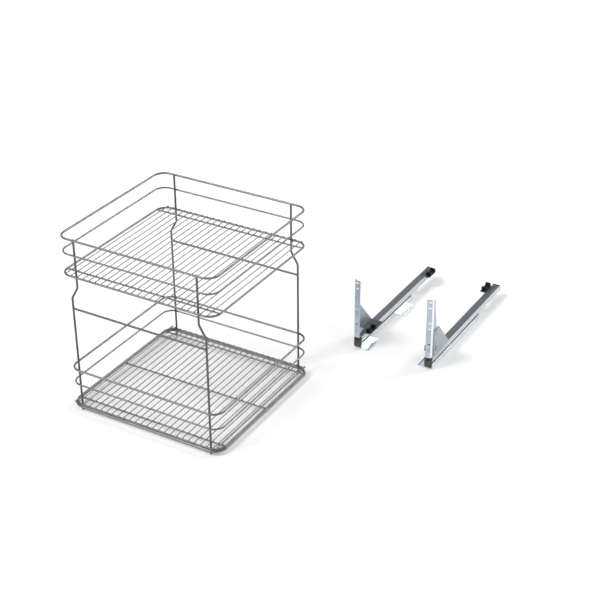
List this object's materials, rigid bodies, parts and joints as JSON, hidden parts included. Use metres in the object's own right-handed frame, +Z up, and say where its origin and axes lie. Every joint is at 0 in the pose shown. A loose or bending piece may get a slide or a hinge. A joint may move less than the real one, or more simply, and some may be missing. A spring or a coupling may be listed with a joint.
{
  "type": "pull-out cargo basket kit",
  "caption": "Two-tier wire pull-out basket for a base cabinet, lifted off and stood beside its pair of floor-mounted telescopic slides with door brackets.",
  "frame": {"origin": "middle of the kit's footprint, on the floor that the basket and slides stand on", "axes": "+Z up, +Y to the rear, +X to the right; the slides pull out along -Y"},
  "size_m": [0.809, 1.1936, 0.548],
  "materials": {
    "wire": "satin silver-grey coating",
    "galvanised": "bright galvanised",
    "zinc_plate": "blue-white zinc plated",
    "roller_steel": "bright",
    "black_plastic": "moulded",
    "grey_plastic": "moulded"
  },
  "bodies": {
    "cabinet_rails": {"cabinet_rail_left": "galvanised", "front_base_plate_left": "galvanised", "rear_base_plate_left": "galvanised", "cabinet_rail_right": "galvanised", "front_base_plate_right": "galvanised", "rear_base_plate_right": "galvanised"},
    "basket": {"top_rim": "wire", "upper_rail": "wire", "upper_floor_ring": "wire", "upper_cross_wires": "wire", "upper_floor_wires": "wire", "lower_rim": "wire", "lower_rail": "wire", "base_ring": "wire", "base_frame_loop": "wire", "lower_cross_wires": "wire", "lower_floor_wires": "wire", "lower_side_bars": "wire", "front_tie_bar": "wire", "rear_tie_bar": "wire", "leg_front_left": "wire", "leg_front_right": "wire", "leg_rear_left": "wire", "leg_rear_right": "wire"},
    "middle_left": {"middle_rail_left": "galvanised", "glide_strip_left": "black_plastic", "middle_tip_left": "black_plastic"},
    "lower_cage_body_left": {"lower_cage_left": "black_plastic", "lower_rollers_left": "roller_steel"},
    "upper_cage_body_left": {"upper_cage_left": "black_plastic", "upper_rollers_left": "roller_steel"},
    "runner_body_left": {"runner_left": "galvanised", "bracket_left": "zinc_plate", "door_strip_left": "zinc_plate", "bracket_screws_left": "roller_steel", "height_adjuster_left": "roller_steel", "front_fork_left": "grey_plastic", "front_clip_left": "black_plastic", "rear_clip_left": "black_plastic", "rear_seat_left": "zinc_plate", "runner_end_cap_left": "black_plastic"},
    "middle_right": {"middle_rail_right": "galvanised", "glide_strip_right": "black_plastic", "middle_tip_right": "black_plastic"},
    "lower_cage_body_right": {"lower_cage_right": "black_plastic", "lower_rollers_right": "roller_steel"},
    "upper_cage_body_right": {"upper_cage_right": "black_plastic", "upper_rollers_right": "roller_steel"},
    "runner_body_right": {"runner_right": "galvanised", "bracket_right": "zinc_plate", "door_strip_right": "zinc_plate", "bracket_screws_right": "roller_steel", "height_adjuster_right": "roller_steel", "front_fork_right": "grey_plastic", "front_clip_right": "black_plastic", "rear_clip_right": "black_plastic", "rear_seat_right": "zinc_plate", "runner_end_cap_right": "black_plastic"}
  },
  "joints": [
    {"name": "runner_slide_left", "type": "slide", "parent": "cabinet_rails", "child": "runner_body_left", "axis": [0, -1, 0], "range_m": [0, 0.4]},
    {"name": "middle_slide_left", "type": "slide", "parent": "cabinet_rails", "child": "middle_left", "axis": [0, -1, 0], "range_m": [0, 0.2]},
    {"name": "lower_cage_slide_left", "type": "slide", "parent": "cabinet_rails", "child": "lower_cage_body_left", "axis": [0, -1, 0], "range_m": [0, 0.1]},
    {"name": "upper_cage_slide_left", "type": "slide", "parent": "cabinet_rails", "child": "upper_cage_body_left", "axis": [0, -1, 0], "range_m": [0, 0.3]},
    {"name": "runner_slide_right", "type": "slide", "parent": "cabinet_rails", "child": "runner_body_right", "axis": [0, -1, 0], "range_m": [0, 0.4]},
    {"name": "middle_slide_right", "type": "slide", "parent": "cabinet_rails", "child": "middle_right", "axis": [0, -1, 0], "range_m": [0, 0.2]},
    {"name": "lower_cage_slide_right", "type": "slide", "parent": "cabinet_rails", "child": "lower_cage_body_right", "axis": [0, -1, 0], "range_m": [0, 0.1]},
    {"name": "upper_cage_slide_right", "type": "slide", "parent": "cabinet_rails", "child": "upper_cage_body_right", "axis": [0, -1, 0], "range_m": [0, 0.3]},
    {"name": "basket_lift", "type": "slide", "parent": "cabinet_rails", "child": "basket", "axis": [0, 0, 1], "range_m": [0, 0.3]}
  ],
  "couplings": [
    {"joint": "middle_slide_left", "follows": "runner_slide_left", "ratio": 0.5},
    {"joint": "lower_cage_slide_left", "follows": "runner_slide_left", "ratio": 0.25},
    {"joint": "upper_cage_slide_left", "follows": "runner_slide_left", "ratio": 0.75},
    {"joint": "middle_slide_right", "follows": "runner_slide_right", "ratio": 0.5},
    {"joint": "lower_cage_slide_right", "follows": "runner_slide_right", "ratio": 0.25},
    {"joint": "upper_cage_slide_right", "follows": "runner_slide_right", "ratio": 0.75}
  ]
}
